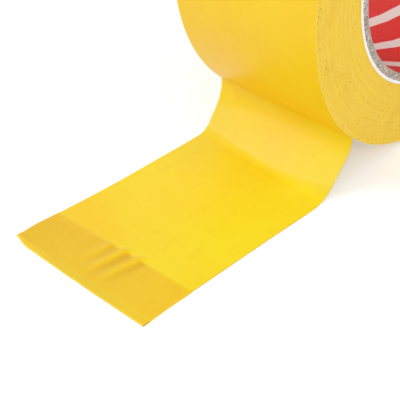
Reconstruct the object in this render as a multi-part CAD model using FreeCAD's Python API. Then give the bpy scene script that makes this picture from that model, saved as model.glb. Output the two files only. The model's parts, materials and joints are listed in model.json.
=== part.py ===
"""Roll of insulating tape: a plied paperboard core, the wound tape, and the loose tail with its
folded end tab.

The origin is the centre of the bore. +X runs along the roll's axis, +Z is up, and the tail leaves
the front of the roll and lies towards -Y on the surface that the roll stands on.
"""
import FreeCAD, Part
import math
import os

Vector = FreeCAD.Vector

# Driving dimensions, in millimetres and degrees.

# Tape
TAPE_WIDTH = 50.0
TAPE_THICKNESS = 0.18
ROLL_RADIUS = 60.5

# Core: a printed liner, grey board plies and a white cover ply, each a spiral-wound strip whose
# edges meet in a butt seam.
BORE_RADIUS = 38.1
LINER_THICKNESS = 0.5
BOARD_PLY_THICKNESS = 0.45
BOARD_PLY_COUNT = 4
COVER_THICKNESS = 0.95
SEAM_GAP = 0.25
SEAM_PITCH = 124.0
SEAM_STAGGER = 80.0

# Peel line, where the outer turn leaves the roll: its angle round the roll, from the lowest
# line towards the front.
PEEL_ANGLE = 41.7
PEEL_GAP = 0.05

# Riser, the stretch of tail from the peel line down to the surface. Headings are the way the
# tail runs, in degrees below level.
PEEL_BEND_RADIUS = 1.2
STEEP_HEADING = 95.7
SLOPE_HEADING = 44.5
SLOPE_LENGTH = 5.2
LANDING_RADIUS = 11.2
RISER_RUN = 19.75
RISER_SLEW = 4.0

# Flat strip
STRIP_LENGTH = 47.0
STRIP_SLEW = -0.8

# End tab: the tape's end folded under and stuck to itself, with a soft loop at the fold. The fold
# runs askew, so the flap's free end just peeks out on the near side.
TAB_LENGTH = 18.2
TAB_GAP = 0.05
TAB_RAMP_LENGTH = 0.6
FOLD_RADIUS = 0.21
FOLD_BAND = 2.7
FOLD_SKEW = 1.3
LOOP_RETURN = 1.0
FLAP_SKEW = 0.2

# Puckers: hollow ridges on the tab, highest beside the tab line. Each is its peak's place across,
# its run from there to the tip, its drift across on the way, its rise and half its width.
NOSE_SLOPE = 45
PUCKERS = (
    (-4.4, 7.0, -0.5, 0.5, 1.0),
    (0.7, 10.5, -1.5, 0.95, 1.4),
    (6.0, 9.5, -1.7, 0.9, 1.4),
)

# Worked-out sizes
BOARD_RADIUS = BORE_RADIUS + LINER_THICKNESS
COVER_RADIUS = BOARD_RADIUS + BOARD_PLY_COUNT * BOARD_PLY_THICKNESS
CORE_RADIUS = COVER_RADIUS + COVER_THICKNESS
SPIRAL_STEP = TAPE_THICKNESS / 4
PEEL = math.radians(PEEL_ANGLE)
PEEL_Y = -ROLL_RADIUS * math.sin(PEEL)
PEEL_Z = -ROLL_RADIUS * math.cos(PEEL)
SURFACE_Z = SPIRAL_STEP * math.cos(PEEL) - (ROLL_RADIUS - 3 * SPIRAL_STEP)
TAB_TOP_Z = SURFACE_Z + 2 * TAPE_THICKNESS
RISER_REACH = RISER_RUN - PEEL_Y
TAB_LINE_REACH = RISER_REACH + STRIP_LENGTH
FOLD_REACH = TAB_LINE_REACH + TAB_LENGTH
HALF_WIDTH = TAPE_WIDTH / 2


def tube(inner, outer):
    """Return a tube on the roll's axis, as long as the tape is wide."""
    start = Vector(-HALF_WIDTH, 0, 0)
    along = Vector(1, 0, 0)
    body = Part.makeCylinder(outer, TAPE_WIDTH, start, along)
    return body.cut(Part.makeCylinder(inner, TAPE_WIDTH, start, along))


def seam_cutter(inner, outer, turn):
    """Return a helical ribbon that parts a ply along its butt seam, from end to end."""
    overrun = SEAM_GAP
    length = TAPE_WIDTH + 2 * overrun
    helix = Part.makeHelix(SEAM_PITCH, length, (inner + outer) / 2)
    low = inner - overrun
    high = outer + overrun
    section = Part.makePolygon([
        Vector(low, -SEAM_GAP / 2, 0),
        Vector(high, -SEAM_GAP / 2, 0),
        Vector(high, SEAM_GAP / 2, 0),
        Vector(low, SEAM_GAP / 2, 0),
        Vector(low, -SEAM_GAP / 2, 0),
    ])
    ribbon = Part.Wire(helix).makePipeShell([section], True, True)
    ribbon.rotate(Vector(), Vector(0, 0, 1), turn)
    ribbon.translate(Vector(0, 0, -length / 2))
    ribbon.rotate(Vector(), Vector(0, 1, 0), 90)
    return ribbon


def core_ply(inner, outer, turn):
    """Return one spiral-wound ply of the core, with its seam turned about the axis."""
    return tube(inner, outer).cut(seam_cutter(inner, outer, turn))


def round_the_roll(radius, angle):
    """Return the point at a radius and an angle from the lowest line towards the front."""
    return Vector(0, -radius * math.sin(angle), -radius * math.cos(angle))


def wound_tape():
    """Return the wound tape. Its outside is the outer turn, which steps in by one thickness at
    the peel line: four quarter arcs, tangent where they meet, whose radii shrink in equal steps.
    """
    edges = []
    centre = Vector()
    radius = ROLL_RADIUS
    quarter = math.pi / 2
    for index in range(4):
        start = PEEL + index * quarter
        points = [centre + round_the_roll(radius, start + part * quarter) for part in (0, 0.5, 1)]
        edges.append(Part.Arc(*points).toShape())
        centre = centre + round_the_roll(SPIRAL_STEP, start + quarter)
        radius -= SPIRAL_STEP
    edges.append(Part.makeLine(edges[-1].Vertexes[-1].Point, edges[0].Vertexes[0].Point))
    face = Part.Face(Part.Wire(edges))
    face.translate(Vector(-HALF_WIDTH, 0, 0))
    body = face.extrude(Vector(TAPE_WIDTH, 0, 0))
    bore = Part.makeCylinder(CORE_RADIUS, TAPE_WIDTH, Vector(-HALF_WIDTH, 0, 0), Vector(1, 0, 0))
    return body.cut(bore)


def slewed_sheet(outline, start_y, slew, shift, skew=0):
    """Return the film of this edge outline, as wide as the tape, slewed about a start line. Its
    bends run askew by so much: they lie that far nearer the roll at the far edge.
    """
    outline.rotate(Vector(0, start_y, 0), Vector(0, 0, 1), slew)
    outline.translate(Vector(shift + HALF_WIDTH, 0, 0))
    edge_drift = skew * math.tan(math.radians(slew))
    return Part.Face(outline).extrude(Vector(-TAPE_WIDTH - edge_drift, skew, 0))


class StripPath:
    """The backing face of a strip of tape seen from its edge, walked one stretch at a time.

    A heading of 0 runs level towards -Y, and a positive heading runs down. The adhesive face
    lies one tape thickness behind the backing face.
    """

    def __init__(self, y, z, heading):
        self.y = y
        self.z = z
        self.heading = heading
        self.backing = []
        self.adhesive = []

    def face_points(self):
        """Return this place on the backing face and on the adhesive face."""
        turn = math.radians(self.heading)
        behind_y = self.y + TAPE_THICKNESS * math.sin(turn)
        behind_z = self.z - TAPE_THICKNESS * math.cos(turn)
        return Vector(0, self.y, self.z), Vector(0, behind_y, behind_z)

    def line(self, length):
        """Go straight on."""
        turn = math.radians(self.heading)
        start = self.face_points()
        self.y -= length * math.cos(turn)
        self.z -= length * math.sin(turn)
        end = self.face_points()
        self.backing.append(Part.makeLine(start[0], end[0]))
        self.adhesive.append(Part.makeLine(start[1], end[1]))

    def arc(self, radius, heading):
        """Bend to a new heading. The radius is the backing face's."""
        start = self.face_points()
        places = []
        for part in (0.5, 1):
            self.bend_by(radius, (heading - self.heading) * part)
            places.append(self.face_points())
        middle, end = places
        self.backing.append(Part.Arc(start[0], middle[0], end[0]).toShape())
        self.adhesive.append(Part.Arc(start[1], middle[1], end[1]).toShape())

    def bend_by(self, radius, degrees):
        """Move along an arc that turns the heading by so many degrees."""
        before = math.radians(self.heading)
        after = math.radians(self.heading + degrees)
        side = math.copysign(radius, -degrees)
        self.y -= side * (math.sin(before) - math.sin(after))
        self.z -= side * (math.cos(after) - math.cos(before))
        self.heading += degrees

    def ease_up(self, length, rise):
        """Rise onto a higher level through two equal bends, level at both ends."""
        half_turn = math.atan2(rise, length)
        radius = length / (2 * math.sin(2 * half_turn))
        self.arc(radius, self.heading - math.degrees(2 * half_turn))
        self.arc(radius, self.heading + math.degrees(2 * half_turn))

    def outline(self):
        """Return the closed outline: the backing face, an end, the adhesive face and an end."""
        first = self.backing[0].Vertexes[0].Point
        last = self.backing[-1].Vertexes[-1].Point
        first_behind = self.adhesive[0].Vertexes[0].Point
        last_behind = self.adhesive[-1].Vertexes[-1].Point
        caps = [Part.makeLine(last, last_behind), Part.makeLine(first_behind, first)]
        return Part.Wire(self.backing + caps[:1] + self.adhesive[::-1] + caps[1:])


def drop_of_arc(radius, before, after):
    """Return how far an arc between two headings goes down."""
    return radius * (math.cos(math.radians(after)) - math.cos(math.radians(before)))


def tail_riser():
    """Return the riser. Its upper bend takes up the height that the peel bend, the slope and the
    landing leave.
    """
    leaving = 180 - PEEL_ANGLE
    outward = round_the_roll(PEEL_GAP, PEEL)
    y = PEEL_Y + outward.y + PEEL_GAP * math.cos(PEEL)
    z = PEEL_Z + outward.z - PEEL_GAP * math.sin(PEEL)
    drop = z - (SURFACE_Z + TAPE_THICKNESS)
    drop -= drop_of_arc(PEEL_BEND_RADIUS, leaving, STEEP_HEADING)
    drop -= SLOPE_LENGTH * math.sin(math.radians(SLOPE_HEADING))
    drop -= drop_of_arc(LANDING_RADIUS, SLOPE_HEADING, 0)
    upper_radius = drop / drop_of_arc(1, STEEP_HEADING, SLOPE_HEADING)
    path = StripPath(y, z, leaving)
    path.arc(PEEL_BEND_RADIUS, STEEP_HEADING)
    path.arc(upper_radius, SLOPE_HEADING)
    path.line(SLOPE_LENGTH)
    path.arc(LANDING_RADIUS, 0)
    path.line(path.y - PEEL_Y + RISER_RUN / math.cos(math.radians(RISER_SLEW)))
    return slewed_sheet(path.outline(), PEEL_Y, RISER_SLEW, 0)


def shift_at(reach):
    """Return how far to +X the flat strip's middle lies at a reach from the roll's axis."""
    at_riser = RISER_RUN * math.tan(math.radians(RISER_SLEW))
    return at_riser + (reach - RISER_REACH) * math.tan(math.radians(STRIP_SLEW))


def sheet(corners):
    """Return one thickness of tape on the surface, with these (x, reach) corners."""
    points = [Vector(x, -reach, SURFACE_Z) for x, reach in corners]
    face = Part.Face(Part.makePolygon(points + points[:1]))
    return face.extrude(Vector(0, 0, TAPE_THICKNESS))


def tail_strip():
    """Return the flat strip between the riser and the end tab."""
    near = [(shift_at(reach) + HALF_WIDTH, reach) for reach in (RISER_REACH, TAB_LINE_REACH)]
    far = [(shift_at(reach) - HALF_WIDTH, reach) for reach in (TAB_LINE_REACH, RISER_REACH)]
    return sheet(near + far)


def pucker_body(pucker, wall):
    """Return the body inside a pucker's outer face, taken in by the wall: two crossing cylinders
    of one radius, the long one sinking into the tab at the tip and the steep one at the nose.
    """
    x, run, drift, rise, half_width = pucker
    radius = (half_width ** 2 + rise ** 2) / (2 * rise)
    slope = math.radians(NOSE_SLOPE)
    nose = rise / math.tan(slope) + radius * math.tan(slope / 2)
    peak = TAB_LINE_REACH + 2 * TAB_GAP + TAB_RAMP_LENGTH + nose
    centre = Vector(x, -peak, TAB_TOP_Z + rise - radius)
    arms = []
    for arm in (Vector(drift, -run, -rise), Vector(0, math.cos(slope), -math.sin(slope))):
        arm.normalize()
        length = TAB_LENGTH
        arms.append(Part.makeCylinder(radius - wall, 2 * length, centre - arm * length, arm))
    return arms[0].common(arms[1])


def puckered(film):
    """Return the tab's upper layer with its puckers, each as thick as the tape and hollow."""
    middle_z = TAB_TOP_Z - TAPE_THICKNESS / 2
    above = Part.makeBox(TAPE_WIDTH, TAB_LENGTH, TAPE_WIDTH, Vector(-HALF_WIDTH, -FOLD_REACH, middle_z))
    for pucker in PUCKERS:
        film = film.fuse(pucker_body(pucker, 0).common(above))
    for pucker in PUCKERS:
        film = film.cut(pucker_body(pucker, TAPE_THICKNESS))
    return film


def tab_strip():
    """Return the end tab's upper layer. It eases up onto the flap, swells before the fold, turns
    under in a half-round loop and runs back a little to meet the flap.
    """
    start = TAB_LINE_REACH + TAB_GAP
    join = start + TAB_LENGTH / 2
    backing_radius = FOLD_RADIUS + TAPE_THICKNESS / 2
    swell_length = FOLD_BAND - backing_radius
    ramp = StripPath(-start, SURFACE_Z + TAPE_THICKNESS, 0)
    ramp.ease_up(TAB_RAMP_LENGTH, TAPE_THICKNESS)
    ramp.line(join - start)
    fold = StripPath(-join, TAB_TOP_Z, 0)
    fold.line(FOLD_REACH - FOLD_BAND - join)
    fold.ease_up(swell_length, 2 * (backing_radius - TAPE_THICKNESS))
    fold.arc(backing_radius, 180)
    fold.line(LOOP_RETURN)
    shift = shift_at(start)
    film = slewed_sheet(ramp.outline(), -start, STRIP_SLEW, shift)
    film = film.fuse(slewed_sheet(fold.outline(), -start, STRIP_SLEW, shift, FOLD_SKEW))
    return puckered(film.removeSplitter())


def tab_flap():
    """Return the tape's end, folded under the tab and stuck to it a little askew."""
    fold_side = FOLD_REACH - FOLD_RADIUS - TAPE_THICKNESS / 2 - LOOP_RETURN - TAB_GAP
    free_end = TAB_LINE_REACH + TAB_GAP + TAB_RAMP_LENGTH
    near = shift_at(fold_side) + HALF_WIDTH
    far = shift_at(fold_side - FOLD_SKEW) - HALF_WIDTH
    free_middle = shift_at(free_end) + FLAP_SKEW
    return sheet([
        (near, fold_side),
        (free_middle + HALF_WIDTH, free_end),
        (free_middle - HALF_WIDTH, free_end),
        (far, fold_side - FOLD_SKEW),
    ])


def all_parts():
    """Return every sub-part by name."""
    seam_turn = 0
    parts = {"core_liner": core_ply(BORE_RADIUS, BOARD_RADIUS, seam_turn)}
    for number in range(BOARD_PLY_COUNT):
        seam_turn += SEAM_STAGGER
        inner = BOARD_RADIUS + number * BOARD_PLY_THICKNESS
        parts[f"core_board_ply_{number + 1}"] = core_ply(inner, inner + BOARD_PLY_THICKNESS, seam_turn)
    parts["core_cover_ply"] = core_ply(COVER_RADIUS, CORE_RADIUS, seam_turn + SEAM_STAGGER)
    parts["wound_tape"] = wound_tape()
    parts["tail_riser"] = tail_riser()
    parts["tail_strip"] = tail_strip()
    parts["tab_strip"] = tab_strip()
    parts["tab_flap"] = tab_flap()
    return parts


os.makedirs("parts", exist_ok=True)
for name, shape in all_parts().items():
    solid = shape.Solids[0]
    solid.exportStep(f"parts/{name}.step")
    print(f"{name}: {solid.Volume:.1f} mm3")
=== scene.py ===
"""Looks of the roll of insulating tape: film, wound turns, core plies, floor, light and camera.

Lengths are in millimetres, apart from the lamps' places and what the material nodes take, which
are in metres. Headings are in degrees below level, and angles round the roll in radians. The
roll's axis is X, the surface lies below, and the tail runs towards -Y. A reach is how far a place
lies in front of the axis, and a part goes from 0 at the far (-X) edge to 1 at the near edge.
"""

import json
import math
import random

import bpy
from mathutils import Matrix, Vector, noise

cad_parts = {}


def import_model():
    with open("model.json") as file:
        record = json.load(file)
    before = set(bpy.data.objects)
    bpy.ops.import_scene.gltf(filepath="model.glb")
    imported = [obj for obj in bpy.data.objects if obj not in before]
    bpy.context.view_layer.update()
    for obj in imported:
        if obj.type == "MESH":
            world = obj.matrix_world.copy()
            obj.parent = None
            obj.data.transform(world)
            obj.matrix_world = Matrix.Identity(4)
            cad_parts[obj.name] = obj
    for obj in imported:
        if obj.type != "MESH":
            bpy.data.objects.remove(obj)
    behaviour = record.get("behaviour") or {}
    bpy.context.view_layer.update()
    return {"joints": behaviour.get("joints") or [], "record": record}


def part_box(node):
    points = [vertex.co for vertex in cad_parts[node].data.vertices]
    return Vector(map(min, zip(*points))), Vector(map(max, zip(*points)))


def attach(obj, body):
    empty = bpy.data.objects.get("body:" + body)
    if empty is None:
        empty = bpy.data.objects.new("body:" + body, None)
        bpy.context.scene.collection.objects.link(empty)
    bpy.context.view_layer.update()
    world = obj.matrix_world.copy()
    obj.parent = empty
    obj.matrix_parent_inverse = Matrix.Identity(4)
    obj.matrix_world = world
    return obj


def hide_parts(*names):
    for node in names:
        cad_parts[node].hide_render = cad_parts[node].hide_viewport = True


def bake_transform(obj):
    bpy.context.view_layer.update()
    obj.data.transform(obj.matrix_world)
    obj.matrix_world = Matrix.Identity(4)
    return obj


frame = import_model()
MM = 0.001


# Sizes read from the frame

def box_mm(node):
    """Return a CAD node's lowest and highest corners, in millimetres."""
    return [Vector(corner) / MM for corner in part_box(node)]


def joint_place(name):
    """Return a joint's position in millimetres."""
    joint = next(joint for joint in frame["joints"] if joint["name"] == name)
    return Vector(joint["pos_m"]) / MM


def radius_of(node):
    """Return a round node's outer radius."""
    return (box_mm(node)[1].y - box_mm(node)[0].y) / 2


HALF_WIDTH = box_mm("wound_tape")[1].x
THICKNESS = box_mm("tail_strip")[1].z - box_mm("tail_strip")[0].z
SURFACE = box_mm("tail_strip")[0].z
PEEL_PLACE = joint_place("tail_lift")
ROLL_RADIUS = math.hypot(PEEL_PLACE.y, PEEL_PLACE.z)
PEEL = math.atan2(-PEEL_PLACE.y, -PEEL_PLACE.z)
TAB_LINE = -joint_place("tab_lift").y
FOLD_REACH = -box_mm("tab_strip")[0].y
FLAP_END = -box_mm("tab_flap")[1].y
FLAT_START = -box_mm("tail_strip")[1].y
BORE_RADIUS = frame["record"]["mounts"][0]["dims"]["r_mm"]
PLY_NODES = ["core_liner"] + [f"core_board_ply_{number}" for number in (1, 2, 3, 4)] + ["core_cover_ply"]
CORE_RADIUS = radius_of("core_cover_ply")

# Sizes of the look alone

NEAR_EDGE = {"steep": 97.7, "slope": 41.5, "straight": 7.0, "landing": 14.0, "drift": 1.25, "sway": 0.55}
FAR_EDGE = {"steep": 93.7, "slope": 47.4, "straight": 5.0, "landing": 7.0, "drift": 1.5, "sway": 0.3}
INNER_LANDING = 5.0
INNER_STRAIGHT = 4.0
INNER_SAG = 5.0
PEEL_BEND = 1.2
RIPPLE_DEPTH = 0.02

FILM_SEAM = 100.0
STRIP_SLEW = -0.8
WAVE_HEIGHT = 0.12
NEAR_INSET = 0.15
NEAR_FLARE = {"width": 0.35, "start": 113.0}
FAR_FLARE = {"width": 1.3, "start": 82.0, "full": 118.0}
FAR_RETURN = {"share": 0.23, "start": 116.0, "end": 124.0}

FOLD_SKEW = 1.3
FOLD_BOW = 0.26
FOLD_UNEVEN = 0.08
FOLD_LOOP = 0.3
FAR_NIP = 0.9
BAND_REACH = FOLD_REACH - 2.7
FLAP_SKEW = 0.2
CORNER_CURL = {"height": 0.35, "x": 18.0, "start": 108.0, "full": 122.0}
PUCKERS = (
    {"x": -4.2, "start": 106.6, "end": 118.0, "height": 0.6, "width": 1.2, "lean": -0.8},
    {"x": 1.4, "start": 105.2, "end": 121.5, "height": 1.1, "width": 1.15, "lean": -2.6},
    {"x": 6.8, "start": 104.8, "end": 120.5, "height": 1.05, "width": 1.15, "lean": -2.8},
)

TURN_GAP = 0.02
SIDE_STEP_RUN = 0.02
SIDE_OFFSETS = (-0.02, 0.01)
SPIRAL_DEPTH = 3.0

SEAM_PITCH = 124.0
SEAM_STAGGER = 80.0
SEAM_GAP = 0.25
PLY_BEVEL = 0.1
RAGGED_DEPTH = 0.05

# How far the film's colour deepens on the roll, and where painted shade and painted light change along
# the tail

TURN_TONE = 0.82
FOOT_SHADE_START = 57.0
FOOT_SHADE_END = 76.0
FAR_SHADE_START = 74.0
NEAR_LIGHT_END = 86.0


# Mesh tools

def new_object(name, points, faces, material, smooth_below=40):
    """Return a mesh object from points in millimetres."""
    mesh = bpy.data.meshes.new(name)
    mesh.from_pydata([point * MM for point in points], [], faces)
    mesh.validate()
    mesh.update()
    mesh.polygons.foreach_set("use_smooth", [True] * len(mesh.polygons))
    mesh.set_sharp_from_angle(angle=math.radians(smooth_below))
    obj = bpy.data.objects.new(name, mesh)
    bpy.context.scene.collection.objects.link(obj)
    mesh.materials.append(material)
    return obj


def set_uv(obj, places):
    """Give each vertex a metric place on the film, in metres, as a UV map."""
    layer = obj.data.uv_layers.new(name="place")
    for loop in obj.data.loops:
        layer.data[loop.index].uv = places[loop.vertex_index]


def add_attribute(obj, name, values):
    """Give each vertex a number that the materials read."""
    attribute = obj.data.attributes.new(name, "FLOAT", "POINT")
    attribute.data.foreach_set("value", values)


def film(name, rows, runs, marks, looks):
    """Return a closed sheet of film. Rows of points lie on the backing face, far edge first, and each
    row has its run along the tape. Each point's marks are how far its colour deepens, over film behind
    it and with painted shade and painted light along the tail and on the tab, and how far it darkens in
    painted shade. The looks are the faces' and the slit edge's.
    """
    row_count = len(rows)
    across = len(rows[0])
    backing = []
    adhesive = []
    uvs = []
    for i, row in enumerate(rows):
        before = rows[max(i - 1, 0)]
        after = rows[min(i + 1, row_count - 1)]
        for j, point in enumerate(row):
            along = after[j] - before[j]
            side = row[min(j + 1, across - 1)] - row[max(j - 1, 0)]
            normal = along.cross(side).normalized()
            backing.append(point)
            adhesive.append(point - normal * THICKNESS)
            uvs.append((runs[i] * MM, point.x * MM))
    offset = row_count * across
    faces = []
    edges = []
    for i in range(row_count - 1):
        for j in range(across - 1):
            a = i * across + j
            quad = (a, a + across, a + across + 1, a + 1)
            faces.append(quad)
            faces.append(tuple(offset + index for index in reversed(quad)))
        for j, flip in ((0, False), (across - 1, True)):
            a = i * across + j
            edge = (a, a + offset, a + across + offset, a + across)
            edges.append(edge[::-1] if flip else edge)
    for i, flip in ((0, True), (row_count - 1, False)):
        for j in range(across - 1):
            a = i * across + j
            edge = (a, a + offset, a + 1 + offset, a + 1)
            edges.append(edge[::-1] if flip else edge)
    obj = new_object(name, backing + adhesive, faces + edges, looks[0])
    obj.data.materials.append(looks[1])
    for polygon in obj.data.polygons[len(faces):]:
        polygon.material_index = 1
    set_uv(obj, uvs * 2)
    both_faces = [mark for row in marks for mark in row] * 2
    add_attribute(obj, "backed_and_painted_shading", [backed_and_painted_shading for backed_and_painted_shading, shade in both_faces])
    add_attribute(obj, "shade", [shade for backed_and_painted_shading, shade in both_faces])
    return obj


def wobble(seed, x, y, z=0):
    """Return smooth noise between -1 and 1 at a place given in features."""
    return noise.noise(Vector((x + seed, y + 2 * seed, z + 3 * seed)))


def ease(value, low, high):
    """Return 0 below low and 1 above high, smoothly between."""
    part = min(max((value - low) / (high - low), 0), 1)
    return part * part * (3 - 2 * part)


# The tape's path

def spiral_radius(angle):
    """Return the outer turn's outside radius at an angle past the lowest line."""
    return ROLL_RADIUS - THICKNESS * (angle - PEEL) / (2 * math.pi)


def round_the_roll(radius, angle):
    """Return the point at a radius and an angle from the lowest line towards the front."""
    return Vector((0, -radius * math.sin(angle), -radius * math.cos(angle)))


def drop_of_arc(before, after):
    """Return how far a unit arc between two headings goes down."""
    return math.cos(math.radians(after)) - math.cos(math.radians(before))


def riser_shape(part):
    """Return the riser's bends part of the way from the far to the near edge. Between the edges
    the slope lies further out and its landing is tighter.
    """
    shape = {key: FAR_EDGE[key] + (NEAR_EDGE[key] - FAR_EDGE[key]) * part for key in NEAR_EDGE}
    inner = math.sin(math.pi * part)
    cut = inner * (shape["landing"] - INNER_LANDING)
    shape["straight"] += cut * math.tan(math.radians(shape["slope"] / 2)) + inner * INNER_STRAIGHT
    shape["landing"] -= cut
    shape["sag"] = INNER_SAG * inner
    return shape


def riser_points(shape):
    """Return a lengthwise line of the riser as (y, z, run) from the peel line to the surface."""
    leaving = 180 - math.degrees(PEEL)
    high = shape["slope"] + shape["sag"]
    low = shape["slope"] - shape["sag"]
    drop = PEEL_PLACE.z - SURFACE - THICKNESS
    drop -= PEEL_BEND * drop_of_arc(leaving, shape["steep"])
    drop -= shape["straight"] * math.sin(math.radians(shape["slope"]))
    drop -= shape["landing"] * drop_of_arc(low, 0)
    upper = drop / drop_of_arc(shape["steep"], high)
    stretches = [
        (leaving, shape["steep"], PEEL_BEND * math.radians(leaving - shape["steep"]), 8),
        (shape["steep"], high, upper * math.radians(shape["steep"] - high), 22),
        (high, low, shape["straight"], 8),
        (low, 0, shape["landing"] * math.radians(low), 20),
    ]
    y, z, run = PEEL_PLACE.y, PEEL_PLACE.z, 0
    points = [(y, z, run)]
    for before, after, length, steps in stretches:
        for step in range(steps):
            heading = math.radians(before + (after - before) * (step + 0.5) / steps)
            y -= length / steps * math.cos(heading)
            z -= length / steps * math.sin(heading)
            run += length / steps
            points.append((y, z, run))
    return points


def edge_drift(edge, run, whole_run):
    """Return how far to +X an edge of the riser has drifted."""
    part = run / whole_run
    return edge["drift"] * part - edge["sway"] * math.sin(math.pi * part ** 0.7)


def edge_flare(part, reach):
    """Return how far the strip flares towards -X near its end, which its near edge does the
    other way.
    """
    far = ease(reach, FAR_FLARE["start"], FAR_FLARE["full"])
    far -= FAR_RETURN["share"] * ease(reach, FAR_RETURN["start"], FAR_RETURN["end"])
    near = ease(reach, NEAR_FLARE["start"], FOLD_REACH)
    return FAR_FLARE["width"] * far * (1 - part) ** 3 - NEAR_FLARE["width"] * near * part ** 3


def flat_point(part, reach):
    """Return a backing-face point of the flat strip, part of the way from far to near edge."""
    slew = (reach - FLAT_START) * math.tan(math.radians(STRIP_SLEW))
    far = FAR_EDGE["drift"] - HALF_WIDTH + slew
    near = NEAR_EDGE["drift"] + HALF_WIDTH + slew
    near -= NEAR_INSET * ease(reach, FLAT_START, FLAT_START + 20)
    x = far + (near - far) * part - edge_flare(part, reach)
    back = fold_line(part) * ease(reach, TAB_LINE, FOLD_REACH)
    return Vector((x, back - reach, SURFACE + THICKNESS))


def strip_lift(x, reach):
    """Return how far the flat strip stands off the surface in its faint waves."""
    fade = ease(reach, FLAT_START, FLAT_START + 10) * (1 - ease(reach, FILM_SEAM - 8, FILM_SEAM))
    return fade * WAVE_HEIGHT * (0.5 + 0.5 * wobble(5, x / 21, reach / 15))


def turn_row(parts, angle):
    """Return a row of the outer turn, which ripples slightly away from the peel line."""
    ripple = RIPPLE_DEPTH * ease(angle - PEEL, 0, 0.3)
    row = []
    for part in parts:
        x = (2 * part - 1) * HALF_WIDTH
        depth = ripple * wobble(2, x / 16, math.cos(angle) * 4, math.sin(angle) * 4)
        point = round_the_roll(spiral_radius(angle) + depth, angle)
        row.append(point + Vector((x, 0, 0)))
    return row


def riser_rows(parts):
    """Return the riser's rows after the peel line, and the run of each at the middle."""
    shapes = [riser_shape(part) for part in parts]
    lines = [riser_points(shape) for shape in shapes]
    rows = []
    for step in range(1, len(lines[0])):
        row = []
        for part, shape, line in zip(parts, shapes, lines):
            y, z, run = line[step]
            x = (2 * part - 1) * HALF_WIDTH + edge_drift(shape, run, line[-1][2])
            row.append(Vector((x, y, z)))
        rows.append(row)
    return rows, [run for y, z, run in lines[len(parts) // 2][1:]]


def tape_film(looks):
    """The outer turn, the riser and the flat strip up to the seam before the end tab."""
    across = 33
    turn_steps = 300
    flat_steps = 30
    parts = [j / (across - 1) for j in range(across)]
    angles = [PEEL + 2 * math.pi * (1 - step / turn_steps) for step in range(turn_steps + 1)]
    rows = [turn_row(parts, angle) for angle in angles]
    runs = [-ROLL_RADIUS * (angle - PEEL) for angle in angles]
    marks = [[(TURN_TONE, 0)] * across for _ in angles]
    riser, riser_runs = riser_rows(parts)
    rows += riser
    runs += riser_runs
    flat_run = runs[-1] + FLAT_START + rows[-1][0].y
    for step in range(flat_steps + 1):
        along = (FILM_SEAM - FLAT_START) * step / flat_steps
        row = [flat_point(part, FLAT_START + along) for part in parts]
        for point in row:
            point.z += strip_lift(point.x, FLAT_START + along)
        rows.append(row)
        runs.append(flat_run + along)
    marks += [[tail_marks(point) for point in row] for row in rows[len(marks):]]
    return film("tape_film", rows, runs, marks, looks)


def pucker_lift(x, reach):
    """Return how high the tab's puckers stand, which run along the tape and lean across it."""
    lift = 0
    for pucker in PUCKERS:
        along = (reach - pucker["start"]) / (pucker["end"] - pucker["start"])
        if not 0 < along < 1:
            continue
        swell = ease(along, -0.02, 0.2) * (1 - along) ** 0.8
        middle = pucker["x"] + pucker["lean"] * along
        width = pucker["width"] * (0.85 + 0.4 * along)
        lift = max(lift, pucker["height"] * swell * math.exp(-((x - middle) / width) ** 2))
    return lift


def corner_lift(x, reach):
    """Return how far the tab's far corner curls off the surface."""
    along = ease(reach, CORNER_CURL["start"], CORNER_CURL["full"])
    return CORNER_CURL["height"] * ease(-x, CORNER_CURL["x"], HALF_WIDTH + 1) * along


def upper_lift(x, reach):
    """Return how far the tab's upper layer stands up, in its puckers and at its far corner."""
    return pucker_lift(x, reach) + corner_lift(x, reach)


def fold_line(part):
    """Return how far the fold lies behind its near end. It runs askew, bowed and slightly uneven,
    with a nipped far corner.
    """
    nipped = ease(0.09 - part, 0, 0.09)
    uneven = FOLD_UNEVEN * wobble(11, 13 * part, 0)
    return FOLD_SKEW * (1 - part) + FAR_NIP * nipped - FOLD_BOW * math.sin(math.pi * part) + uneven


def painted_falloff(point):
    """Return how far the loose film's colour deepens in painted shade towards its far side near the tab,
    where light falls off. Its near side is less than 0, which is paler, a painted light.
    """
    # Painted shade towards the far side near the tab, where light falls off.
    far_shade = 0.75 * ease(-point.y, FAR_SHADE_START, TAB_LINE) * ease(-point.x, -10, 20)
    # Painted light on the near side.
    pale = 0.4 * ease(point.x, 0, 20) * (1 - ease(-point.y, NEAR_LIGHT_END, FILM_SEAM))
    return far_shade - pale


def tail_marks(point):
    """Return the loose film's marks: painted shade that deepens and darkens the riser, deepest towards
    its top under the roll, and the film beside the riser's foot.
    """
    height = point.z - SURFACE
    riser = ease(height, 0.4, 2)
    upper = ease(height, 5, 14)
    near_foot = 1 - ease(-point.y, FOOT_SHADE_START, FOOT_SHADE_END)
    foot = (1 - riser) * near_foot * (1 - 0.8 * ease(point.x, 2, 22))
    # Painted shade: the riser deepens, most towards its top under the roll, and so does the film beside
    # its foot.
    deep = painted_falloff(point) + riser * (0.2 + 0.4 * upper) + 0.1 * foot
    return deep, riser * (0.8 - 0.6 * upper) + 0.4 * foot


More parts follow.
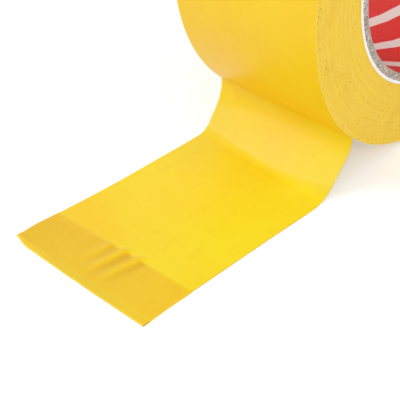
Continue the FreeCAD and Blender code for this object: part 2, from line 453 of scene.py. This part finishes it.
def tab_marks(point):
    """Return the tab's marks: it deepens where it is doubled over a second layer, less on the band
    before the fold, with a painted shade towards its far side and on one flank of each pucker. It is
    paler where a pucker lifts it, a painted highlight on the crest, and along the tab line, a painted
    light where the step there faces the light. Its middle and the band darken in painted shade.
    """
    reach = -point.y
    on_band = ease(reach, BAND_REACH - 0.5, BAND_REACH + 0.3)
    doubled = ease(reach, TAB_LINE - 0.3, TAB_LINE + 0.5)
    # Painted shade towards the tab's far side, where light falls off.
    far_tab_shade = ease(-point.x, 4, 24) * ease(reach, TAB_LINE - 0.3, TAB_LINE + 4)
    stuck = (0.95 * doubled + 0.22 * far_tab_shade) * (1 - 0.33 * on_band)
    # Painted light along the tab line, where the step there faces the light.
    tab_line_light = math.exp(-((reach - TAB_LINE - 0.4) / 0.45) ** 2)
    # Paler where the film lifts over a pucker, a painted highlight on its crest, and along the tab line.
    loose = min(tab_line_light + 0.8 * pucker_lift(point.x, reach), 1)
    # Painted shade on each pucker's flank two millimetres towards +X.
    pucker_shade = pucker_lift(point.x - 2.0, reach) * stuck
    middle = ease(point.x, -20, -4) * (1 - 0.7 * ease(point.x, 4, 20))
    darker = 0.45 * ease(reach, TAB_LINE, TAB_LINE + 1) * middle + 0.3 * on_band
    return max(stuck, painted_falloff(point)) + 0.5 * pucker_shade - 0.4 * loose, darker


def tab_parts():
    """Return places across the tab from the far edge, close together where it puckers."""
    parts = []
    x = -HALF_WIDTH
    while x < HALF_WIDTH - 0.1:
        parts.append((x / HALF_WIDTH + 1) / 2)
        x += 0.25 if -9 < x < 10 else 0.8
    return parts + [1.0]


def tab_level(reach):
    """Return how high the tab's upper layer lies over the surface before its lifts."""
    doubled = THICKNESS * ease(reach, TAB_LINE - 0.3, FLAP_END + 0.5)
    rising = 2 * (FOLD_LOOP - THICKNESS) * ease(reach, BAND_REACH, FOLD_REACH - FOLD_LOOP)
    return THICKNESS + doubled + rising


def tab_row(parts, reach, level, lift, shift=0):
    """Return a row of the tab at a level over the surface, lifted further by lift(x, reach)."""
    row = []
    for part in parts:
        point = flat_point(part, reach)
        point.x += shift
        point.z = SURFACE + level + lift(point.x, reach)
        row.append(point)
    return row


def spaced(start, end, count):
    """Return evenly spaced places from a start, up to but without an end."""
    return [start + (end - start) * i / count for i in range(count)]


def tab_film(looks):
    """The tail's end: the last of the flat strip, the doubled tab, its fold and the flap."""
    fold_steps = 14
    back_steps = 24
    parts = tab_parts()
    fold_start = FOLD_REACH - FOLD_LOOP
    back_length = fold_start - FLAP_END
    runs = spaced(FILM_SEAM, TAB_LINE, 20) + spaced(TAB_LINE, FLAP_END, 4)
    runs += spaced(FLAP_END, BAND_REACH, 44) + spaced(BAND_REACH, fold_start, 10) + [fold_start]
    rows = [tab_row(parts, reach, tab_level(reach), upper_lift) for reach in runs]
    for step in range(1, fold_steps + 1):
        turn = math.pi * step / fold_steps
        reach = fold_start + FOLD_LOOP * math.sin(turn)
        rows.append(tab_row(parts, reach, FOLD_LOOP + FOLD_LOOP * math.cos(turn), corner_lift))
        runs.append(runs[-1] + math.pi * FOLD_LOOP / fold_steps)
    for step in range(1, back_steps + 1):
        reach = fold_start - back_length * step / back_steps
        rows.append(tab_row(parts, reach, 0, corner_lift, FLAP_SKEW * step / back_steps))
        runs.append(runs[-1] + back_length / back_steps)
    marks = [[tab_marks(point) for point in row] for row in rows]
    return film("tab_film", rows, runs, marks, looks)


def turn_side(radii, offsets, side):
    """Return one side of the wound turns as (radius, x), side 1 at +X and -1 at -X."""
    points = []
    for inner, outer, offset in zip(radii, radii[1:], offsets):
        x = side * (HALF_WIDTH + offset)
        points += [(inner + SIDE_STEP_RUN, x), (outer - SIDE_STEP_RUN, x)]
    return points


def wound_turns(material):
    """The turns under the outer one, as a ring whose sides step by hundredths of a millimetre
    between groups of turns. Near its outside the ring follows the outer turn's spiral.
    """
    segments = 240
    dice = random.Random(7)
    outside = ROLL_RADIUS - THICKNESS - TURN_GAP
    radii = [CORE_RADIUS + TURN_GAP]
    near_offsets = []
    while radii[-1] < outside - 0.5:
        radii.append(radii[-1] + dice.choice((1, 2, 2, 3, 4, 5, 7)) * THICKNESS)
        near_offsets.append(dice.uniform(*SIDE_OFFSETS))
    radii[-1] = outside
    far_offsets = [dice.uniform(*SIDE_OFFSETS) for _ in near_offsets]
    loop = turn_side(radii, near_offsets, 1) + turn_side(radii, far_offsets, -1)[::-1]
    points = []
    for step in range(segments):
        angle = PEEL + 2 * math.pi * (step + 0.5) / segments
        for radius, x in loop:
            share = ease(radius, outside - SPIRAL_DEPTH, outside)
            reduced = radius - share * (ROLL_RADIUS - spiral_radius(angle))
            points.append(round_the_roll(reduced, angle) + Vector((x, 0, 0)))
    size = len(loop)
    faces = []
    for step in range(segments):
        here = step * size
        there = (step + 1) % segments * size
        for index in range(size):
            after = (index + 1) % size
            faces.append((here + index, here + after, there + after, there + index))
    return new_object("wound_turns", points, faces, material, smooth_below=20)


def ply(name, inner, outer, turn, look, inside_look=None):
    """One spiral-wound ply of the core: a tube parted along a helical butt seam, whose ends are
    slightly ragged. Its inside can have a look of its own.
    """
    lengthwise = 14
    segments = 180
    bevel = min(PLY_BEVEL, (outer - inner) / 4)
    start = -HALF_WIDTH + bevel
    length = 2 * HALF_WIDTH - 2 * bevel
    stations = [start + length * i / lengthwise for i in range(lengthwise + 1)]
    loop = [(inner, x) for x in stations]
    loop += [(inner + bevel, HALF_WIDTH), (outer - bevel, HALF_WIDTH)]
    loop += [(outer, x) for x in reversed(stations)]
    loop += [(outer - bevel, -HALF_WIDTH), (inner + bevel, -HALF_WIDTH)]
    gap = SEAM_GAP / outer
    points = []
    uvs = []
    for step in range(segments + 1):
        for radius, x in loop:
            seam = math.radians(turn) + 2 * math.pi * (x + HALF_WIDTH) / SEAM_PITCH
            angle = seam + gap / 2 + (2 * math.pi - gap) * step / segments
            ragged = 0
            if abs(x) == HALF_WIDTH:
                ragged = RAGGED_DEPTH * abs(wobble(turn, math.cos(angle) * 30, math.sin(angle) * 30))
            end = Vector((x - math.copysign(ragged, x), 0, 0))
            points.append(round_the_roll(radius, -angle) + end)
            uvs.append((angle * radius * MM, x * MM))
    size = len(loop)
    faces = []
    for step in range(segments):
        here = step * size
        there = here + size
        for index in range(size):
            after = (index + 1) % size
            faces.append((here + index, there + index, there + after, here + after))
    first_cap = tuple(range(size))
    last_cap = tuple(segments * size + index for index in reversed(range(size)))
    obj = new_object(name, points, faces + [first_cap, last_cap], look)
    set_uv(obj, uvs)
    if inside_look:
        obj.data.materials.append(inside_look)
        for polygon in obj.data.polygons[:len(faces)]:
            if polygon.index % size < lengthwise:
                polygon.material_index = 1
    return obj


# Materials

def linear(red, green, blue):
    """Return a linear colour from 0-255 display values."""
    values = []
    for value in (red, green, blue):
        value /= 255
        values.append(value / 12.92 if value <= 0.04045 else ((value + 0.055) / 1.055) ** 2.4)
    return (*values, 1)


class Nodes:
    """A short way to build a material's node tree."""

    def __init__(self, name):
        self.material = bpy.data.materials.new(name)
        self.material.use_nodes = True
        self.tree = self.material.node_tree
        self.shader = self.tree.nodes["Principled BSDF"]

    def add(self, kind, inputs=None, **settings):
        """Add a node. Inputs are values or sockets by name or index."""
        node = self.tree.nodes.new(kind)
        for key, value in settings.items():
            setattr(node, key, value)
        for key, value in (inputs or {}).items():
            self.feed(node.inputs[key], value)
        return node

    def feed(self, socket, value):
        """Set a socket to a value, or link it."""
        if isinstance(value, bpy.types.NodeSocket):
            self.tree.links.new(value, socket)
        else:
            socket.default_value = value

    def place(self, source, scale):
        """Return metric coordinates stretched by a scale per axis."""
        if source == "UV":
            start = self.add("ShaderNodeUVMap", uv_map="place").outputs["UV"]
        else:
            start = self.add("ShaderNodeTexCoord").outputs["Object"]
        return self.add("ShaderNodeMapping", {"Vector": start, "Scale": scale}).outputs["Vector"]

    def noise(self, vector, scale, detail=3.0, rough=0.5):
        """Return noise from 0 to 1."""
        inputs = {"Vector": vector, "Scale": scale, "Detail": detail, "Roughness": rough}
        return self.add("ShaderNodeTexNoise", inputs).outputs["Fac"]

    def span(self, value, low, high, to_low=0.0, to_high=1.0):
        """Return a value mapped from one range to another, clamped."""
        inputs = {"Value": value, "From Min": low, "From Max": high, "To Min": to_low, "To Max": to_high}
        return self.add("ShaderNodeMapRange", inputs).outputs["Result"]

    def math(self, operation, first, second=0.0):
        """Return a sum, product or the like."""
        return self.add("ShaderNodeMath", {0: first, 1: second}, operation=operation).outputs[0]

    def mix(self, factor, first, second, blend="MIX"):
        """Return a mixed colour."""
        node = self.add("ShaderNodeMix", data_type="RGBA", blend_type=blend)
        self.feed(node.inputs["Factor"], factor)
        self.feed(node.inputs[6], first)
        self.feed(node.inputs[7], second)
        return node.outputs[2]

    def attribute(self, name):
        """Return a vertex number."""
        return self.add("ShaderNodeAttribute", attribute_name=name).outputs["Fac"]

    def bump(self, height, strength, distance):
        """Return a bumped normal."""
        inputs = {"Height": height, "Strength": strength, "Distance": distance}
        return self.add("ShaderNodeBump", inputs).outputs["Normal"]

    def finish(self, **inputs):
        """Feed the shader and return the material."""
        for key, value in inputs.items():
            self.feed(self.shader.inputs[key.replace("_", " ")], value)
        return self.material


def film_material():
    """Soft calendered PVC film: satin, with faint lengthwise streaks, scuffs and smudges. Loose film is
    thin and paler, and it is deepest and glossiest where it is doubled. The number that deepens it also
    carries painted shade and painted light along the tail and on the tab, and the shade number darkens
    it in painted shade.
    """
    nodes = Nodes("tape_film")
    broad = nodes.noise(nodes.place("UV", (1, 1, 1)), 45.0)
    streaks = nodes.noise(nodes.place("UV", (25, 900, 1)), 1.0, 4.0)
    grain = nodes.noise(nodes.place("UV", (1, 1, 1)), 2600.0, 2.0)
    scuffs = nodes.noise(nodes.place("UV", (120, 500, 1)), 1.0, 6.0, 0.65)
    smudges = nodes.noise(nodes.place("UV", (1, 1.6, 1)), 130.0, 6.0, 0.7)
    thin = nodes.mix(nodes.span(broad, 0.35, 0.65), linear(252, 228, 32), linear(254, 232, 42))
    deep = nodes.mix(nodes.span(broad, 0.35, 0.65), linear(254, 206, 24), linear(255, 212, 32))
    # This number deepens the colour over film behind it, and also carries painted shade and painted
    # light.
    backed_and_painted_shading = nodes.attribute("backed_and_painted_shading")
    base = nodes.mix(nodes.span(backed_and_painted_shading, -0.3, 0.986), thin, deep)
    base = nodes.mix(nodes.span(backed_and_painted_shading, 0.84, 1.3, 0.0, 0.9), base, linear(232, 184, 12))
    # Painted shade: the shade number darkens the riser, the film beside its foot, and the tab's middle
    # and band.
    base = nodes.mix(nodes.attribute("shade"), base, (0.86, 0.86, 0.86, 1), "MULTIPLY")
    base = nodes.mix(nodes.span(streaks, 0.4, 0.8, 0.0, 0.12), base, linear(255, 226, 80))
    base = nodes.mix(nodes.span(smudges, 0.54, 0.86, 0.0, 0.25), base, linear(216, 168, 24))
    worn = nodes.span(scuffs, 0.66, 0.8)
    base = nodes.mix(nodes.math("MULTIPLY", worn, 0.18), base, linear(255, 236, 140))
    rough = nodes.math("ADD", nodes.span(broad, 0.3, 0.7, 0.38, 0.45), nodes.math("MULTIPLY", worn, 0.1))
    rough = nodes.math("SUBTRACT", rough, nodes.span(backed_and_painted_shading, 0.84, 1.05, 0.0, 0.14))
    height = nodes.math("ADD", nodes.math("MULTIPLY", grain, 0.5), nodes.math("MULTIPLY", streaks, 0.6))
    return nodes.finish(Base_Color=base, Roughness=rough, Normal=nodes.bump(height, 0.25, 0.00002),
                        Specular_IOR_Level=0.3, Coat_Weight=0.06, Coat_Roughness=0.3)


def edge_material():
    """The film's slit edge: pale on the roll and the doubled tab, deeper where it is loose."""
    nodes = Nodes("film_edge")
    grain = nodes.noise(nodes.place("Object", (1, 1, 1)), 1500.0, 2.0)
    loose = nodes.mix(nodes.span(grain, 0.3, 0.7), linear(232, 160, 14), linear(240, 178, 26))
    base = nodes.mix(nodes.span(nodes.attribute("backed_and_painted_shading"), 0.7, 0.8), loose, linear(255, 226, 110))
    return nodes.finish(Base_Color=base, Roughness=0.5, Normal=nodes.bump(grain, 0.2, 0.00003))


def turns_material():
    """Cut edges of the wound turns, with broken turn lines, scratches, dull patches, dust and lint."""
    nodes = Nodes("turn_edges")
    place = nodes.place("Object", (1, 1, 1))
    parts = nodes.add("ShaderNodeSeparateXYZ", {"Vector": place}).outputs
    across = nodes.math("MULTIPLY", parts["Y"], parts["Y"])
    up = nodes.math("MULTIPLY", parts["Z"], parts["Z"])
    radius = nodes.math("SQRT", nodes.math("ADD", across, up))
    angle = nodes.math("ARCTAN2", parts["Y"], parts["Z"])
    turn = nodes.math("DIVIDE", radius, THICKNESS * MM)
    turn = nodes.math("ADD", turn, nodes.math("DIVIDE", angle, 2 * math.pi))

    def rings(scale, per_radian):
        """Return noise drawn out along the turns."""
        along = nodes.math("MULTIPLY", angle, per_radian)
        spot = nodes.add("ShaderNodeCombineXYZ", {"X": turn, "Y": along, "Z": scale}).outputs[0]
        return nodes.noise(spot, scale, 3.0, 0.6)

    fine = rings(0.9, 2.4)
    bands = rings(0.17, 3.0)
    scratches = nodes.noise(nodes.place("Object", (1, 1100, 180)), 1.0, 4.0, 0.6)
    cloud = nodes.noise(place, 120.0, 4.0)
    base = nodes.mix(nodes.span(bands, 0.3, 0.7), linear(244, 202, 50), linear(249, 214, 71))
    base = nodes.mix(nodes.span(fine, 0.45, 0.8, 0.0, 0.42), base, linear(238, 186, 50))
    base = nodes.mix(nodes.span(scratches, 0.55, 0.75, 0.0, 0.35), base, linear(255, 232, 138))
    base = nodes.mix(nodes.span(cloud, 0.52, 0.75, 0.0, 0.32), base, linear(224, 174, 56))
    dust = nodes.noise(place, 2300.0, 2.0, 0.7)
    base = nodes.mix(nodes.span(dust, 0.45, 0.75, 0.0, 0.42), base, linear(232, 178, 48))
    clusters = nodes.span(nodes.noise(place, 90.0, 3.0), 0.42, 0.68, 0.0, 0.06)
    rims = nodes.math("ABSOLUTE", nodes.math("SUBTRACT", radius, (ROLL_RADIUS + CORE_RADIUS) / 2 * MM))
    rims = nodes.span(rims, 0.004, (ROLL_RADIUS - CORE_RADIUS) / 2 * MM, 0.0, 0.035)
    lint = nodes.math("ADD", nodes.noise(place, 1500.0, 3.0, 0.6), nodes.math("ADD", clusters, rims))
    base = nodes.mix(nodes.span(lint, 0.66, 0.74, 0.0, 0.6), base, linear(152, 96, 32))
    height = nodes.math("ADD", fine, nodes.math("MULTIPLY", bands, 2.0))
    return nodes.finish(Base_Color=base, Roughness=0.55, Normal=nodes.bump(height, 0.35, 0.00004),
                        Specular_IOR_Level=0.3)


def board_material():
    """Recycled grey board, speckled with fibres of many colours."""
    nodes = Nodes("grey_board")
    place = nodes.place("Object", (1, 1, 1))
    mottle = nodes.noise(place, 500.0, 4.0)
    base = nodes.mix(nodes.span(mottle, 0.3, 0.7), linear(152, 142, 130), linear(206, 197, 186))
    flecks = (linear(128, 130, 112), linear(198, 146, 132), linear(84, 76, 70), linear(232, 226, 216))
    for seed, colour in enumerate(flecks, 1):
        moved = nodes.add("ShaderNodeMapping", {"Vector": place, "Location": (seed, seed, seed)})
        fleck = nodes.span(nodes.noise(moved.outputs["Vector"], 1900.0, 1.0), 0.6, 0.66, 0.0, 0.9)
        base = nodes.mix(fleck, base, colour)
    fibre = nodes.noise(place, 2500.0, 3.0)
    return nodes.finish(Base_Color=base, Roughness=0.9, Normal=nodes.bump(fibre, 0.5, 0.0001))


def paper_material(name, colour, deep):
    """Plain paper with a faint cloudy look, between a colour and a deeper one."""
    nodes = Nodes(name)
    place = nodes.place("Object", (1, 1, 1))
    cloud = nodes.noise(place, 350.0, 4.0)
    base = nodes.mix(nodes.span(cloud, 0.35, 0.65), deep, colour)
    fibre = nodes.noise(place, 2200.0, 3.0)
    return nodes.finish(Base_Color=base, Roughness=0.75, Normal=nodes.bump(fibre, 0.4, 0.00008))


def print_material():
    """The liner's inside: red ground with plain white helical bands."""
    nodes = Nodes("liner_print")
    place = nodes.place("UV", (1, 1, 1))
    parts = nodes.add("ShaderNodeSeparateXYZ", {"Vector": place}).outputs
    slant = 2 * math.pi * BORE_RADIUS / SEAM_PITCH
    across = nodes.math("SUBTRACT", parts["X"], nodes.math("MULTIPLY", parts["Y"], slant))
    bands = 8
    period = 2 * math.pi * BORE_RADIUS * MM / bands
    phase = nodes.math("FRACT", nodes.math("DIVIDE", across, period))
    centred = nodes.math("ABSOLUTE", nodes.math("SUBTRACT", phase, 0.5))
    band = nodes.span(centred, 0.14, 0.15, 1.0, 0.0)
    ink = nodes.noise(place, 900.0, 4.0)
    red = nodes.mix(nodes.span(ink, 0.3, 0.7), linear(216, 40, 34), linear(228, 54, 46))
    base = nodes.mix(band, red, linear(236, 232, 226))
    return nodes.finish(Base_Color=base, Roughness=0.45, Normal=nodes.bump(ink, 0.15, 0.00004))


# Build the pieces

film_looks = [film_material(), edge_material()]
turn_look = turns_material()
board_look = board_material()
white_look = paper_material("white_paper", linear(255, 255, 254), linear(248, 247, 244))
liner_look = paper_material("liner_paper", linear(190, 178, 166), linear(172, 160, 148))
print_look = print_material()

roll_film = tape_film(film_looks)
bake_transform(roll_film)
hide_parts("tail_riser", "tail_strip")

tab = tab_film(film_looks)
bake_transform(tab)
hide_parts("tab_strip", "tab_flap")

turns = wound_turns(turn_look)
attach(turns, "roll")
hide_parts("wound_tape")

ply_looks = {
    "core_liner": ("liner_paper", liner_look, print_look),
    "core_cover_ply": ("white_paper", white_look),
}
inner = BORE_RADIUS
for number, node in enumerate(PLY_NODES):
    outer = radius_of(node)
    slot, *looks = ply_looks.get(node, ("grey_board", board_look))
    piece = ply(node.replace("core_", "wrapped_"), inner, outer, number * SEAM_STAGGER, *looks)
    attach(piece, "roll")
    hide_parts(node)
    inner = outer


# Floor, light and camera

FLOOR_TONE = 0.86
FLOOR_GLOW = 0.36
AMBIENT = 0.58


def stage():
    """A pale floor that goes white to the camera and keeps the object's shadow."""
    bpy.ops.mesh.primitive_plane_add(size=6, location=(0, 0, (SURFACE - 0.02) * MM))
    floor = bpy.context.object
    floor.name = "floor"
    nodes = Nodes("floor")
    diffuse = nodes.add("ShaderNodeBsdfDiffuse", {"Color": (FLOOR_TONE,) * 3 + (1,)}).outputs[0]
    glow = nodes.add("ShaderNodeEmission", {"Color": (1, 1, 1, 1), "Strength": FLOOR_GLOW}).outputs[0]
    seen = nodes.add("ShaderNodeAddShader", {0: diffuse, 1: glow}).outputs[0]
    path = nodes.add("ShaderNodeLightPath").outputs
    shown = nodes.math("MAXIMUM", path["Is Camera Ray"], path["Is Glossy Ray"])
    mixed = nodes.add("ShaderNodeMixShader", {0: shown, 1: diffuse, 2: seen}).outputs[0]
    output = nodes.tree.nodes["Material Output"]
    nodes.tree.links.new(mixed, output.inputs["Surface"])
    nodes.tree.nodes.remove(nodes.shader)
    floor.data.materials.append(nodes.material)


def world():
    """Soft light from all round, white to the camera, reflections and clear materials."""
    sky = bpy.data.worlds.new("studio")
    bpy.context.scene.world = sky
    sky.use_nodes = True
    tree = sky.node_tree
    path = tree.nodes.new("ShaderNodeLightPath")
    seen = tree.nodes.new("ShaderNodeMath")
    seen.operation = "MAXIMUM"
    tree.links.new(path.outputs["Is Camera Ray"], seen.inputs[0])
    glossy = tree.nodes.new("ShaderNodeMath")
    glossy.operation = "MAXIMUM"
    tree.links.new(path.outputs["Is Glossy Ray"], glossy.inputs[0])
    tree.links.new(path.outputs["Is Transmission Ray"], glossy.inputs[1])
    tree.links.new(glossy.outputs[0], seen.inputs[1])
    strength = tree.nodes.new("ShaderNodeMapRange")
    strength.inputs["To Min"].default_value = AMBIENT
    strength.inputs["To Max"].default_value = 1.0
    tree.links.new(seen.outputs[0], strength.inputs["Value"])
    background = tree.nodes["Background"]
    background.inputs["Color"].default_value = (1, 1, 1, 1)
    tree.links.new(strength.outputs[0], background.inputs["Strength"])


def lamp(name, place, target, size, power):
    """A soft square lamp."""
    light = bpy.data.lights.new(name, "AREA")
    light.shape = "SQUARE"
    light.size = size
    light.energy = power
    obj = bpy.data.objects.new(name, light)
    bpy.context.scene.collection.objects.link(obj)
    obj.location = place
    obj.rotation_euler = (Vector(target) - Vector(place)).to_track_quat("-Z", "Y").to_euler()


def camera():
    """The viewpoint: 42.8 degrees round from the front and 36.2 degrees up."""
    view = bpy.data.cameras.new("camera")
    view.sensor_width = 36
    view.lens = 107.7
    obj = bpy.data.objects.new("camera", view)
    bpy.context.scene.collection.objects.link(obj)
    azimuth = math.radians(42.82)
    elevation = math.radians(36.23)
    distance = 341.33
    target = Vector((-0.44, -76.19, SURFACE))
    level = Vector((math.sin(azimuth), -math.cos(azimuth), 0))
    away = level * math.cos(elevation) + Vector((0, 0, math.sin(elevation)))
    obj.location = (target + away * distance) * MM
    obj.rotation_euler = away.to_track_quat("Z", "Y").to_euler()
    bpy.context.scene.camera = obj


stage()
world()
lamp("key", (-0.8, -0.6, 0.8), (0, -0.06, -0.05), 0.5, 4.8)
lamp("front", (0.45, -0.95, 0.6), (0, -0.05, -0.03), 0.9, 2.05)
lamp("side", (1.0, -0.1, 0.3), (0, -0.05, -0.03), 0.9, 3.5)
camera()
bpy.context.scene.view_settings.view_transform = "Standard"
